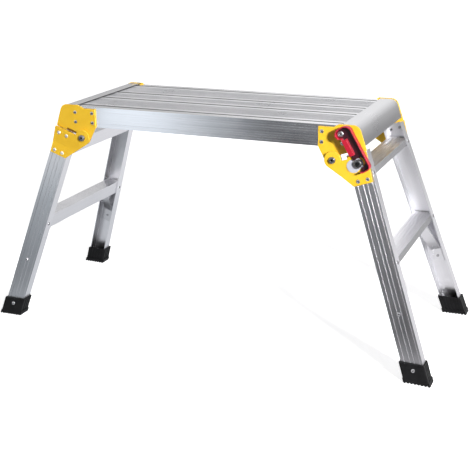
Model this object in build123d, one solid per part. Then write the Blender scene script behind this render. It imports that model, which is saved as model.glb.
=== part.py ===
# Folding aluminium work platform: a ribbed deck carried by two splayed leg frames that fold under it.
# Millimetres, +Z up, origin on the floor under the middle of the deck. +X is the right end, -Y the front.
import math
import os

from build123d import *

# Deck frame
deck_height = 504.0
deck_width = 294.0
frame_length = 655.0
stile_depth = 44.5
stile_wall = 2.6
stile_rim = 19.5
stile_flange = 16.0
stile_lip = 4.0
stile_groove_count = 7
stile_groove_width = 1.6
stile_groove_depth = 0.7

# Deck planks
plank_gap = 6.0
middle_plank_width = 62.0
plank_depth = 22.0
plank_wall = 2.0
plank_foot = 12.0
plank_edge_band = 12.0
plank_rib_width = 1.8
plank_rib_pitch = 4.6
plank_rib_height = 1.2

# Cross members under the planks
cross_member_count = 5
cross_member_width = 36.0
cross_member_wall = 2.0

# Rounded end nosings
nosing_wall = 2.0
nosing_overlap = 22.5
nosing_radius = 17.0
nosing_height = 39.5
nosing_rivet_pitch = 90.0

# Leg frames: splay is the lean seen from the front, flare the lean seen from the end
splay = 19.0
flare = 6.66
pivot_inset = 37.5
pivot_drop = 24.5
leg_offset = 27.5
leg_width = 43.5
leg_depth = 24.0
leg_web = 2.6
leg_flange = 2.2
leg_ridge_width = 3.4
leg_ridge_height = 0.8
leg_ridge_spread_inner = 4.2
leg_ridge_spread_outer = 15.6

# Rungs with level treads, and the straps that brace the step
step_height = 245.0
top_rung_drop = 84.0
rung_depth = 12.0
rung_skirt = 8.0
rung_wall = 2.2
rung_groove_count = 5
rung_groove_width = 1.6
rung_groove_depth = 0.7
rung_side_gap = 0.1
rung_end_gap = 2.5
brace_width = 24.0
brace_thickness = 2.5
brace_reach = 52.0
brace_drop = 76.0
brace_upper_tab = 26.0
brace_lower_tab = 34.0

# Rubber feet
foot_height = 41.5
foot_wall = 4.6
foot_floor = 6.0
foot_corner = 1.5
foot_lip = 1.4
sole_height = 9.0
foot_groove_width = 3.0
foot_groove_depth = 1.2
foot_groove_pitch = 8.0
sole_tooth_pitch = 7.2
sole_groove_width = 4.8
sole_groove_depth = 2.8
sole_groove_count = 7

# Hinge plates
plate_thickness = 3.0
plate_step = 1.0
plate_taper = 4.0
plate_inboard = 32.5
plate_lip_length = 30.5
plate_hump_run = 12.0
plate_drop = 62.0
deck_lobe_radius = 17.0
leg_lobe_radius = 17.5
plate_bend = 36.0
stop_gap = 0.2
slot_start = 20.0
slot_length = 26.0
slot_depth = 5.5
slot_skin = 1.0
notch_length = 11.0
notch_depth = 6.0

# Leg pivots
pivot_gap = 3.0
pivot_radius = 5.0
pivot_head_radius = 7.2
pivot_head_height = 5.0
pivot_spacer_radius = 12.0
pivot_nut_width = 16.0
pivot_nut_height = 7.0
pivot_bolt_spare = 2.0
running_fit = 0.05
slide_gap = 0.1

# Latches: channel levers whose lower hooks swing under the lock pins, one at the front and one at the rear
latch_inset = 20.5
front_latch_drop = 14.0
rear_latch_drop = 22.0
latch_lead = 2.0
latch_left = 2.0
latch_right = 26.0
latch_top = 11.5
latch_tail = 20.0
latch_shoulder = 14.0
latch_corner = 9.0
latch_ear_radius = 10.0
latch_wall = 2.0
latch_depth = 11.2
latch_rim_gap = 19.5
latch_band = 8.0
latch_band_start = 13.0
latch_stand_off = 1.8
latch_stud_radius = 4.0
latch_stud_shoulder = 6.0
latch_stud_head_radius = 6.5
latch_stud_head_height = 3.4
lock_swing = 6.0
release_swing = 12.0
lock_pin_along = 19.5
lock_pin_radius = 9.0
lock_pin_shank = 5.0
lock_pin_length = 5.0
lock_pin_tail_radius = 7.0
lock_pin_tail_height = 2.5
lock_pin_recess = 4.6
lock_pad_thickness = 1.2
lock_pad_end = 11.0
lock_pad_radius = 13.6
lock_pad_shift = 10.5
lock_pad_sink = 2.5
latch_clearance = 0.5

# Rivets
rivet_radius = 2.5
rivet_head_radius = 4.2
rivet_head_height = 1.6
rivet_tail_radius = 3.4
rivet_tail_height = 1.4
rivet_fit = 0.05
rivet_head_taper = 35.0
deck_rivet_inset_x = 7.5
deck_rivet_spread_x = 43.0
deck_rivet_drop = 13.5
deck_rivet_spread_z = 21.5
leg_rivet_spread = 20.4
leg_rivet_upper = 12.0
leg_rivet_lower = 54.5
foot_rivet_height = 28.0

# Places worked out from the sizes above
half_width = deck_width / 2
half_length = frame_length / 2
stile_bottom = deck_height - stile_depth
stile_floor = stile_bottom + stile_wall
plank_bottom = deck_height - plank_depth
nosing_top = deck_height + nosing_wall
nosing_bottom = nosing_top - nosing_height
top_rung_height = deck_height - top_rung_drop
pivot_x = half_length - pivot_inset
pivot_z = stile_bottom - pivot_drop
lean = math.radians(splay)
flare_slope = math.tan(math.radians(flare))
leg_inner = leg_offset
leg_outer = leg_offset + leg_width
leg_middle = leg_offset + leg_width / 2
outer_line = leg_outer + plate_step
plate_face = half_width + plate_thickness
leg_face = plate_face + pivot_gap
leg_plate_front = leg_face + plate_thickness
latch_x = half_length - latch_inset
latch_back = leg_plate_front + latch_stand_off
latch_web_front = latch_back + latch_wall
latch_front = latch_back + latch_depth
far = 2 * deck_height
across = Vector(math.cos(lean), 0, math.sin(lean))
down = Vector(math.sin(lean), 0, -math.cos(lean))


def leg_point(n, u):
    """Side-view point n across from the leg pivot and u down the leg."""
    x = pivot_x + n * math.cos(lean) + u * math.sin(lean)
    z = pivot_z + n * math.sin(lean) - u * math.cos(lean)
    return (x, z)


def along_at(n, height):
    """Distance down the leg at which the line n across reaches a height."""
    return (pivot_z + n * math.sin(lean) - height) / math.cos(lean)


def leg_level(n, height):
    """Side-view point where the line n across the leg reaches a height."""
    return leg_point(n, along_at(n, height))


def web_outside(u):
    """Distance of the leg web's outer face from the middle plane."""
    return leg_face + flare_slope * (u - plate_bend)


def web_inside(u):
    """Distance of the leg web's inner face from the middle plane."""
    return web_outside(u) - leg_web / math.cos(math.radians(flare))


def area(x0, x1, y0, y1):
    """Flat rectangle between two corners."""
    return Pos((x0 + x1) / 2, (y0 + y1) / 2) * Rectangle(x1 - x0, y1 - y0)


def outline(*points):
    """Flat polygon through points, wound anticlockwise."""
    turns = sum(a[0] * b[1] - b[0] * a[1] for a, b in zip(points, points[1:] + points[:1]))
    return Polygon(*(points if turns > 0 else points[::-1]), align=None)


def side_prism(face, near, distant):
    """Solid from a side-view face, between two distances in front of the middle plane."""
    return extrude(Plane.XZ.offset(near) * face, distant - near, dir=(0, -1, 0))


def leg_prism(face, start, end):
    """Solid from a face seen across the leg, x down the leg and y sideways, between two offsets."""
    base = Vector(pivot_x, 0, pivot_z) + across * start
    return extrude(Plane(base, x_dir=down, z_dir=across) * face, end - start, dir=across)


def rear(shape):
    """The matching piece on the rear side."""
    return mirror(shape, about=Plane.XZ)


def half_turn(shape):
    """The matching piece at the other end, turned about the vertical."""
    return Rot(0, 0, 180) * shape


def group(solids):
    """Separate solids that share one node."""
    return Compound(children=[s for s in solids])


stile_heading = Vector(down.X, -flare_slope, down.Z).normalized()
bend_x, bend_z = leg_point(0, plate_bend)
leg_frame = Plane((bend_x, -leg_face, bend_z), x_dir=across, z_dir=stile_heading)
outward = leg_frame.y_dir


def on_stile(n, u, m):
    """Point on the right front leg: n across, u down, m out of the web's outer face."""
    return leg_frame.from_local_coords((n, m, (u - plate_bend) / math.cos(math.radians(flare))))


def web_seat(n, u, m):
    """Rivet seat facing out of the leg web."""
    return Plane(on_stile(n, u, m), x_dir=across, z_dir=outward)


def front_seat(x, z, distance):
    """Fastener seat facing the front."""
    return Plane((x, -distance, z), x_dir=(1, 0, 0), z_dir=(0, -1, 0))


def peg(seat, radius, start, end):
    """Cylinder along a seat's axis."""
    return extrude(seat.offset(start) * Circle(radius), end - start)


def rivet(seat, grip):
    """Rivet with a low head outside, a shank through the grip and a tail inside."""
    head = extrude(seat * Circle(rivet_head_radius), rivet_head_height, taper=rivet_head_taper)
    shank = peg(seat, rivet_radius, -grip, 0)
    tail = peg(seat, rivet_tail_radius, -grip - rivet_tail_height, -grip)
    return head + shank + tail


def drill(shape, seats, radius, reach):
    """Shape with a hole at every seat."""
    for seat in seats:
        shape -= peg(seat, radius, -reach, reach)
    return shape


rivet_hole = rivet_radius + rivet_fit
pivot_hole = pivot_radius + running_fit


# Deck hinge plates carry the leg pivots and cap the nosing ends
def plate_corner():
    return leg_level(outer_line, nosing_top + plate_step)


def lobe_tangent(corner, centre, radius, turn):
    """Point where a line from a corner touches a round lobe."""
    dx = corner[0] - centre[0]
    dz = corner[1] - centre[1]
    angle = math.atan2(dz, dx) + turn * math.acos(radius / math.hypot(dx, dz))
    return (centre[0] + radius * math.cos(angle), centre[1] + radius * math.sin(angle))


def deck_plate_outline():
    pivot = (pivot_x, pivot_z)
    inner_x = pivot_x - plate_inboard
    low_corner = (inner_x, stile_bottom)
    face_top = deck_height - stile_lip
    slot_end = slot_start + slot_length
    body = outline(
        (inner_x, face_top),
        (inner_x + plate_lip_length, face_top),
        (inner_x + plate_lip_length + plate_hump_run, nosing_top + plate_step),
        plate_corner(),
        leg_point(outer_line, -stop_gap),
        leg_point(slot_end, -stop_gap),
        leg_point(slot_end, -slot_depth),
        leg_point(slot_start, -slot_depth),
        pivot,
        lobe_tangent(low_corner, pivot, deck_lobe_radius, 1),
        low_corner,
    )
    body = fillet(body.vertices().sort_by_distance((*plate_corner(), 0))[0], nosing_radius)
    return body + Pos(*pivot) * Circle(deck_lobe_radius)


def deck_rivet_seats(latched):
    """Rivet seats of one deck plate; a latched plate has the latch stud in place of one rivet."""
    seats = []
    for column in range(2):
        for row in range(2):
            x = pivot_x - plate_inboard + deck_rivet_inset_x + column * deck_rivet_spread_x
            z = deck_height - deck_rivet_drop - row * deck_rivet_spread_z
            if not (latched and column == 1 and row == 0):
                seats.append(front_seat(x, z, plate_face))
    return seats


pivot_seat = front_seat(pivot_x, pivot_z, leg_plate_front)
stud_hole = latch_stud_radius + running_fit


def stud_seat(latch_drop):
    """Seat of a latch stud, on the front of the lever's web."""
    return front_seat(latch_x, deck_height - latch_drop, latch_web_front)


def slot_skin_sheet():
    """Thin skin that closes the back of the slot, from the pivot lobe on, on a plate without a latch."""
    slot_end = slot_start + slot_length
    corners = outline(
        leg_point(0, -stop_gap),
        leg_point(slot_end, -stop_gap),
        leg_point(slot_end, -slot_depth),
        leg_point(slot_start, -slot_depth),
    )
    return side_prism(corners, half_width, half_width + slot_skin)


def plain_deck_plate():
    plate = side_prism(deck_plate_outline(), half_width, plate_face) + slot_skin_sheet()
    plate = drill(plate, deck_rivet_seats(False), rivet_hole, far)
    return drill(plate, [pivot_seat], pivot_hole, far)


def latched_deck_plate(latch_drop):
    plate = side_prism(deck_plate_outline(), half_width, plate_face)
    plate = drill(plate, deck_rivet_seats(True), rivet_hole, far)
    return drill(drill(plate, [pivot_seat], pivot_hole, far), [stud_seat(latch_drop)], stud_hole, far)


def deck_plate_rivets():
    grip = plate_thickness + stile_wall
    latched = [rivet(seat, grip) for seat in deck_rivet_seats(True)]
    plain = [rear(rivet(seat, grip)) for seat in deck_rivet_seats(False)]
    right = latched + plain
    return group(right + [half_turn(one) for one in right])


# Deck stiles: channels with grooved faces, open towards the middle
def stile_section():
    section = area(-half_width, -half_width + stile_wall, stile_bottom, deck_height)
    section += area(-half_width, -half_width + stile_rim, deck_height - stile_wall, deck_height)
    section += area(-half_width, -half_width + stile_flange, stile_bottom, stile_floor)
    face_height = stile_depth - stile_lip
    for i in range(stile_groove_count + 1):
        z = stile_bottom + face_height * (i + 1) / (stile_groove_count + 1)
        half = stile_groove_width / 2
        section -= area(-half_width, -half_width + stile_groove_depth, z - half, z + half)
    return section


def deck_stile(latch_drop):
    """Front stile for a latch at the right end; the rear stile is one turned about the vertical."""
    stile = extrude(Plane.YZ.offset(-half_length) * stile_section(), frame_length)
    right_front = deck_rivet_seats(True)
    left_front = [half_turn_seat(seat) for seat in deck_rivet_seats(False)]
    stile = drill(stile, right_front + left_front, rivet_hole, plate_face - half_width + 2 * stile_wall)
    stile = drill(stile, [stud_seat(latch_drop)], stud_hole, latch_web_front - half_width + 2 * stile_wall)
    return drill(stile, cross_rivet_seats(-1), rivet_hole, 2 * stile_wall)


def half_turn_seat(seat):
    """Seat on the left front corner that matches a plain right rear one."""
    return front_seat(-seat.origin.X, seat.origin.Z, -seat.origin.Y)


# Deck planks: ribbed tops on two walls with inward feet
def plank_section(y0, y1):
    top = deck_height - plank_rib_height
    section = area(y0, y1, top - plank_wall, top)
    for edge, turn in ((y0, 1), (y1, -1)):
        wall = sorted((edge, edge + turn * plank_wall))
        foot = sorted((edge, edge + turn * plank_foot))
        band = sorted((edge, edge + turn * plank_edge_band))
        section += area(*wall, plank_bottom, top)
        section += area(*foot, plank_bottom, plank_bottom + plank_wall)
        section += area(*band, top - plank_wall, deck_height)
    span = y1 - y0 - 2 * plank_edge_band
    count = int(span / plank_rib_pitch)
    for i in range(count):
        y = y0 + plank_edge_band + span * (i + 0.5) / count
        section += area(y - plank_rib_width / 2, y + plank_rib_width / 2, top - plank_wall, deck_height)
    return section


def plank_edges():
    """Edges of the front, middle and rear plank."""
    middle = middle_plank_width / 2
    outer = half_width - stile_rim - plank_gap
    return [(-outer, -middle - plank_gap), (-middle, middle), (middle + plank_gap, outer)]


def plank(y0, y1):
    board = extrude(Plane.YZ.offset(-half_length) * plank_section(y0, y1), frame_length)
    return drill(board, plank_rivet_seats(y0, y1), rivet_hole, 2 * plank_wall)


def plank_rivet_seats(y0, y1):
    seats = []
    inset = (plank_wall + plank_foot) / 2
    for x in cross_member_places():
        for y in (y0 + inset, y1 - inset):
            seats.append(Plane((x, y, plank_bottom + plank_wall)))
    return seats


def plank_rivets():
    grip = plank_wall + cross_member_wall
    return group([rivet(seat, grip) for edges in plank_edges() for seat in plank_rivet_seats(*edges)])


# Cross members: box tubes that stand on the stile flanges and carry the planks
def cross_member_places():
    reach = half_length - cross_member_width / 2
    gaps = cross_member_count - 1
    return [-reach + 2 * reach * i / gaps for i in range(cross_member_count)]


def cross_rivet_seats(side):
    y = side * (half_width - (stile_wall + stile_flange) / 2)
    return [Plane((x, y, stile_bottom), x_dir=(1, 0, 0), z_dir=(0, 0, -1)) for x in cross_member_places()]


def cross_member(x):
    half = cross_member_width / 2
    section = area(x - half, x + half, stile_floor, plank_bottom)
    wall = cross_member_wall
    section -= area(x - half + wall, x + half - wall, stile_floor + wall, plank_bottom - wall)
    tube = side_prism(section, stile_wall - half_width, half_width - stile_wall)
    for y0, y1 in plank_edges():
        tube = drill(tube, plank_rivet_seats(y0, y1), rivet_hole, 3 * wall)
    for side in (-1, 1):
        tube = drill(tube, cross_rivet_seats(side), rivet_hole, 3 * wall)
    tube = drill(tube, nosing_rivet_seats(), rivet_hole, 3 * wall)
    return drill(tube, [half_turn_rivet(seat) for seat in nosing_rivet_seats()], rivet_hole, 3 * wall)


def cross_member_rivets():
    grip = stile_wall + cross_member_wall
    return group([rivet(seat, grip) for side in (-1, 1) for seat in cross_rivet_seats(side)])


# End nosings: rounded caps, open below, with a flange over the deck ends
def nosing_section():
    wall = nosing_wall
    corner = leg_level(leg_outer, nosing_top)
    inner_corner = leg_level(leg_outer - wall, nosing_top - wall)
    start = half_length - nosing_overlap
    shell = outline(
        (start, nosing_bottom),
        (start, nosing_top),
        corner,
        leg_level(leg_outer, nosing_bottom),
    )
    shell = fillet(shell.vertices().sort_by_distance((*corner, 0))[0], nosing_radius)
    hollow = outline(
        (start - wall, nosing_bottom - wall),
        (start - wall, nosing_top - wall),
        inner_corner,
        leg_level(leg_outer - wall, nosing_bottom - wall),
    )
    hollow = fillet(hollow.vertices().sort_by_distance((*inner_corner, 0))[0], nosing_radius - wall)
    back = area(half_length, half_length + wall, nosing_bottom, nosing_top)
    return shell - hollow + (back & shell)


def nosing_rivet_seats():
    z = (nosing_bottom + plank_bottom) / 2
    x = half_length + nosing_wall
    places = [i * nosing_rivet_pitch for i in (-1, 0, 1)]
    return [Plane((x, y, z), x_dir=(0, 1, 0), z_dir=(1, 0, 0)) for y in places]


def half_turn_rivet(seat):
    """Seat at the left end that matches one at the right end."""
    return Plane((-seat.origin.X, seat.origin.Y, seat.origin.Z), x_dir=(0, 1, 0), z_dir=(-1, 0, 0))


def nosing():
    cap = side_prism(nosing_section(), -half_width, half_width)
    return drill(cap, nosing_rivet_seats(), rivet_hole, 2 * nosing_wall)


def nosing_rivets():
    right = [rivet(seat, nosing_wall + cross_member_wall) for seat in nosing_rivet_seats()]
    return group(right + [half_turn(one) for one in right])


# Leg pivots: bolt, spacer between the plates, and nut
def pivot_bolt():
    head = peg(pivot_seat, pivot_head_radius, slide_gap, slide_gap + pivot_head_height)
    head = chamfer(head.edges().sort_by(Axis.Y)[0], pivot_head_height / 4)
    grip = leg_plate_front - half_width
    return head + peg(pivot_seat, pivot_radius, -grip - pivot_nut_height - pivot_bolt_spare, slide_gap)


def pivot_spacer():
    seat = front_seat(pivot_x, pivot_z, plate_face)
    return drill(peg(seat, pivot_spacer_radius, 0, pivot_gap - slide_gap), [seat], pivot_hole, far)


def pivot_nut():
    seat = front_seat(pivot_x, pivot_z, half_width)
    face = RegularPolygon(pivot_nut_width / 2, 6, major_radius=False)
    return drill(extrude(seat * face, -pivot_nut_height), [seat], pivot_hole, far)


def at_four_corners(piece):
    pair = [piece, rear(piece)]
    return group(pair + [half_turn(one) for one in pair])


# Leg stiles: ridged channels with the web outside
def stile_cut(bottom):
    """Side-view shape that trims a leg at its top stop and at a height above the floor."""
    wide = leg_width
    face = outline(
        leg_point(leg_inner - wide, stop_gap),
        leg_point(leg_outer + wide, stop_gap),
        leg_level(leg_outer + wide, bottom),
        leg_level(leg_inner - wide, bottom),
    )
    return side_prism(face, 0, far)


def leg_section():
    skin = -leg_ridge_height
    section = area(leg_inner, leg_outer, -leg_web, skin)
    section += area(leg_inner, leg_inner + leg_flange, -leg_depth, skin)
    section += area(leg_outer - leg_flange, leg_outer, -leg_depth, skin)
    for spread in (leg_ridge_spread_inner, leg_ridge_spread_outer):
        for side in (-1, 1):
            middle = leg_middle + side * spread
            section += area(middle - leg_ridge_width / 2, middle + leg_ridge_width / 2, -leg_web, 0)
    return section


def along_leg(section):
    """Long bar of a section along the right front leg."""
    return extrude(leg_frame.offset(-deck_height) * section, 2 * deck_height)


def leg_stile(latched):
    stile = along_leg(leg_section()) & stile_cut(foot_floor)
    stile = drill(stile, leg_plate_seats(), rivet_hole, 3 * plate_thickness)
    stile = drill(stile, brace_web_seats() + foot_rivet_seats(), rivet_hole, 3 * leg_web + foot_wall)
    stile = drill(stile, rung_seats(), rivet_hole, 2 * leg_flange)
    if latched:
        return drill(stile, [lock_seat], lock_pin_shank + rivet_fit, 3 * pivot_gap + plate_thickness)
    return drill(stile, upper_plate_seats(), rivet_hole, 3 * pivot_gap + plate_thickness)


# Rungs: hollow bars with a level tread, a base square to the leg and a skirt on the inner side
def rung_base(height):
    return along_at(leg_outer, height) + rung_depth


def rung(height):
    inner = leg_inner + leg_flange + rung_side_gap
    outer = leg_outer - leg_flange - rung_side_gap
    base = rung_base(height)
    skin = outline(
        leg_level(inner, height),
        leg_level(outer, height),
        leg_point(outer, base),
        leg_point(inner, base),
    )
    section = skin - offset(skin, -rung_wall)
    hem = base + rung_skirt
    lip = inner + rung_wall
    section += outline(
        leg_point(inner, base),
        leg_point(lip, base),
        leg_point(lip, hem),
        leg_point(inner, hem),
    )
    left = leg_level(inner, height)[0]
    right = leg_level(outer, height)[0]
    for i in range(rung_groove_count):
        x = left + (right - left) * (i + 1) / (rung_groove_count + 1)
        half = rung_groove_width / 2
        section -= area(x - half, x + half, height - rung_groove_depth, height + rung_groove_depth)
    ends = []
    for u, side in ((0, -1), (hem, -1), (hem, 1), (0, 1)):
        ends.append((u, side * (web_inside(u) - rung_end_gap)))
    bar = side_prism(section, -far, far) & leg_prism(outline(*ends), -leg_width, 3 * leg_width)
    bar = drill(bar, rung_seats(), rivet_hole, 2 * leg_flange + rung_wall)
    bar = drill(bar, [rear_seat(seat) for seat in rung_seats()], rivet_hole, 2 * leg_flange + rung_wall)
    if height == step_height:
        reach = 2 * (rung_wall + brace_thickness)
        bar = drill(bar, brace_step_seats(), rivet_hole, reach)
        bar = drill(bar, [rear_seat(seat) for seat in brace_step_seats()], rivet_hole, reach)
    return bar


def rear_seat(seat):
    """Seat on the rear stile that matches one on the front stile."""
    flip = Vector(1, -1, 1)
    origin = Vector(seat.origin.X, -seat.origin.Y, seat.origin.Z)
    facing = Vector(seat.z_dir.X * flip.X, seat.z_dir.Y * flip.Y, seat.z_dir.Z * flip.Z)
    return Plane(origin, z_dir=facing)


def rung_seats():
    """Rivet seats on both flanges of the front stile, at the top rung and at the step."""
    seats = []
    for height in (top_rung_height, step_height):
        u = rung_base(height) - rung_depth / 2
        y = leg_depth / 2 - web_outside(u)
        for n, facing in ((leg_outer, across), (leg_inner, -across)):
            x, z = leg_point(n, u)
            seats.append(Plane((x, y, z), x_dir=outward, z_dir=facing))
    return seats


def rung_rivets():
    grip = leg_flange + rung_side_gap + rung_wall
    front = [rivet(seat, grip) for seat in rung_seats()]
    return group(front + [rear(one) for one in front])


# Braces: bent straps from the step's base to the stile's web
def brace_knee():
    return rung_base(step_height) + brace_drop


def brace():
    base = rung_base(step_height)
    knee = brace_knee()
    toe = knee + brace_lower_tab
    route = [
        (toe, -web_inside(toe)),
        (knee, -web_inside(knee)),
        (base, brace_reach - web_inside(base)),
        (base, brace_reach + brace_upper_tab - web_inside(base)),
    ]
    strap = offset(Polyline(*route), brace_thickness, side=Side.RIGHT, kind=Kind.INTERSECTION)
    half = brace_width / 2
    bar = leg_prism(make_face(strap), leg_middle - half, leg_middle + half)
    bar = drill(bar, brace_web_seats(), rivet_hole, 3 * leg_web + brace_thickness)
    return drill(bar, brace_step_seats(), rivet_hole, 2 * brace_thickness)


def brace_web_seats():
    return [web_seat(leg_middle, brace_knee() + brace_lower_tab / 2, 0)]


def brace_step_seats():
    u = rung_base(step_height) + brace_thickness
    y = brace_reach + brace_upper_tab / 2 - web_inside(u)
    x, z = leg_point(leg_middle, u)
    return [Plane((x, y, z), x_dir=across, z_dir=down)]


def brace_rivets():
    front = [rivet(seat, leg_web + brace_thickness) for seat in brace_web_seats()]
    front += [rivet(seat, brace_thickness + rung_wall) for seat in brace_step_seats()]
    return group(front + [rear(one) for one in front])


# Feet: rubber cups with ribbed sides above a wider sole, which is toothed
def foot():
    wall = foot_wall
    sole = area(leg_inner - wall, leg_outer + wall, -leg_depth - wall, wall)
    sole = fillet(sole.vertices(), foot_corner)
    side = foot_wall - foot_lip
    cup = area(leg_inner - side, leg_outer + side, -leg_depth - side, wall)
    cup = fillet(cup.vertices(), foot_corner)
    deep = foot_groove_depth
    half = foot_groove_width / 2
    for i in (-1, 0, 1):
        m = -leg_depth / 2 + i * foot_groove_pitch
        cup -= area(leg_inner - side, leg_inner - side + deep, m - half, m + half)
        cup -= area(leg_outer + side - deep, leg_outer + side, m - half, m + half)
    for i in (-2, -1, 0, 1, 2):
        n = leg_middle + i * foot_groove_pitch
        cup -= area(n - half, n + half, -leg_depth - side, -leg_depth - side + deep)
    boot = along_leg(sole) & side_prism(area(-far, far, 0, sole_height), 0, far)
    boot += along_leg(cup) & side_prism(area(-far, far, sole_height, foot_height), 0, far)
    boot -= along_leg(area(leg_inner, leg_outer, -leg_depth, 0)) & stile_cut(foot_floor)
    middle = leg_level(leg_middle, 0)[0]
    reach = (sole_groove_count - 1) / 2
    for i in range(sole_groove_count):
        x = middle + (i - reach) * sole_tooth_pitch
        half = sole_groove_width / 2
        boot -= side_prism(outline((x - half, 0), (x + half, 0), (x, sole_groove_depth)), 0, far)
    return drill(boot, foot_rivet_seats(), rivet_hole, 2 * foot_wall)


def foot_rivet_seats():
    return [web_seat(leg_middle, along_at(leg_middle, foot_rivet_height), foot_wall)]


def foot_rivets():
    front = [rivet(seat, foot_wall + leg_web) for seat in foot_rivet_seats()]
    return group(front + [rear(one) for one in front])


# Leg hinge plates: flat round the pivot, bent below to lie on the flared web
def leg_plate_outline(latched):
    pivot = (pivot_x, pivot_z)
    low_corner = leg_point(leg_inner, plate_drop)
    points = [
        leg_point(outer_line, stop_gap),
        leg_point(outer_line - plate_taper, plate_drop),
        low_corner,
        lobe_tangent(low_corner, pivot, leg_lobe_radius, -1),
        pivot,
    ]
    if latched:
        notch_end = slot_start + notch_length
        points.append(leg_point(slot_start, notch_depth))
        points.append(leg_point(notch_end, notch_depth))
        points.append(leg_point(notch_end, stop_gap))
    else:
        points.append(leg_point(slot_start, stop_gap))
    return outline(*points) + Pos(*pivot) * Circle(leg_lobe_radius)


def leg_plate(latched):
    rise = 3 * leg_lobe_radius
    drop = 2 * plate_drop
    back = [(-rise, -leg_face), (plate_bend, -leg_face), (drop, -web_outside(drop))]
    front = [(u, y - plate_thickness) for u, y in reversed(back)]
    sheet = leg_prism(outline(*back, *front), -rise, 2 * outer_line)
    plate = side_prism(leg_plate_outline(latched), 0, far) & sheet
    plate = drill(plate, leg_plate_seats(), rivet_hole, 3 * plate_thickness)
    plate = drill(plate, [pivot_seat], pivot_hole, far)
    if latched:
        return drill(plate, [lock_seat], lock_pin_shank + rivet_fit, far)
    return drill(plate, upper_plate_seats(), rivet_hole, far)


def leg_plate_seats():
    """Seats of the lower rivets, on the bent part of the plate."""
    spread = leg_rivet_spread / 2
    return [web_seat(leg_middle + side * spread, leg_rivet_lower, plate_thickness) for side in (-1, 1)]


def upper_plate_seats():
    """Seats of the upper rivets, on the flat part of a plain plate."""
    spread = leg_rivet_spread / 2
    places = [leg_point(leg_middle + side * spread, leg_rivet_upper) for side in (-1, 1)]
    return [front_seat(x, z, leg_plate_front) for x, z in places]


def upper_rivet(seat):
    """Rivet with a collar that fills the gap between the flat plate and the flared web."""
    slant = rivet_head_radius * flare_slope
    collar = leg_face - web_outside(leg_rivet_upper) - slant
    grip = leg_plate_front - web_inside(leg_rivet_upper) + slant
    return rivet(seat, grip) + peg(seat, rivet_head_radius, -plate_thickness - collar, -plate_thickness)


def leg_plate_rivets():
    lower = [rivet(seat, plate_thickness + leg_web) for seat in leg_plate_seats()]
    upper = [upper_rivet(seat) for seat in upper_plate_seats()]
    return group(lower + [rear(one) for one in lower + upper])


# Lock pin on the latched corner of each leg, with a pale pad under its head
lock_x, lock_z = leg_point(leg_middle, lock_pin_along)
lock_seat = front_seat(lock_x, lock_z, leg_plate_front)


def lock_pin():
    start = lock_pad_thickness
    end = start + lock_pin_length
    pin = peg(lock_seat, lock_pin_radius, start, end)
    pin = chamfer(pin.edges().sort_by(Axis.Y)[0], lock_pin_radius / 6)
    pin -= peg(lock_seat, lock_pin_recess, end - lock_pin_length / 3, end)
    slant = lock_pin_tail_radius * flare_slope
    grip = leg_plate_front - web_inside(lock_pin_along) + slant
    pin += peg(lock_seat, lock_pin_shank, -grip, start)
    return pin + peg(lock_seat, lock_pin_tail_radius, -grip - lock_pin_tail_height, -grip)


def lock_pad():
    wide_end = leg_point(leg_middle - lock_pad_shift, lock_pin_along + lock_pad_sink)
    ends = Pos(lock_x, lock_z) * Circle(lock_pad_end) + Pos(*wide_end) * Circle(lock_pad_radius)
    pad = side_prism(make_hull(ends.edges()), leg_plate_front, leg_plate_front + lock_pad_thickness)
    return drill(pad, [lock_seat], lock_pin_shank + rivet_fit, far)


# Latch levers and their studs
def ring_sector(centre, inner, outer, start, end):
    """Part of a flat ring between two angles in degrees."""
    sweep = end - start
    outer_arc = CenterArc(centre, outer, start, sweep)
    inner_arc = CenterArc(centre, inner, start, sweep)
    sides = [Line(inner_arc @ 0, outer_arc @ 0), Line(inner_arc @ 1, outer_arc @ 1)]
    return make_face([outer_arc, inner_arc, *sides])


def polar(centre):
    """Distance and angle in degrees of the lock pin from a centre."""
    dx = lock_x - centre[0]
    dz = lock_z - centre[1]
    return math.hypot(dx, dz), math.degrees(math.atan2(dz, dx))


def lever_mouth(stud):
    """Space that the lock pin needs, both as the lever swings and as the leg folds."""
    keep = lock_pin_radius + latch_clearance
    pivot = (pivot_x, pivot_z)
    reach, angle = polar(stud)
    lock_angle = angle + lock_swing
    mouth = ring_sector(stud, reach - keep, reach + keep, angle - 3 * release_swing, lock_angle)
    turn = math.radians(lock_angle)
    mouth += Pos(stud[0] + reach * math.cos(turn), stud[1] + reach * math.sin(turn)) * Circle(keep)
    fold_reach, fold_angle = polar(pivot)
    fold_start = fold_angle - 5 * release_swing
    return mouth + ring_sector(pivot, fold_reach - keep, fold_reach + keep, fold_start, fold_angle)


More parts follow.
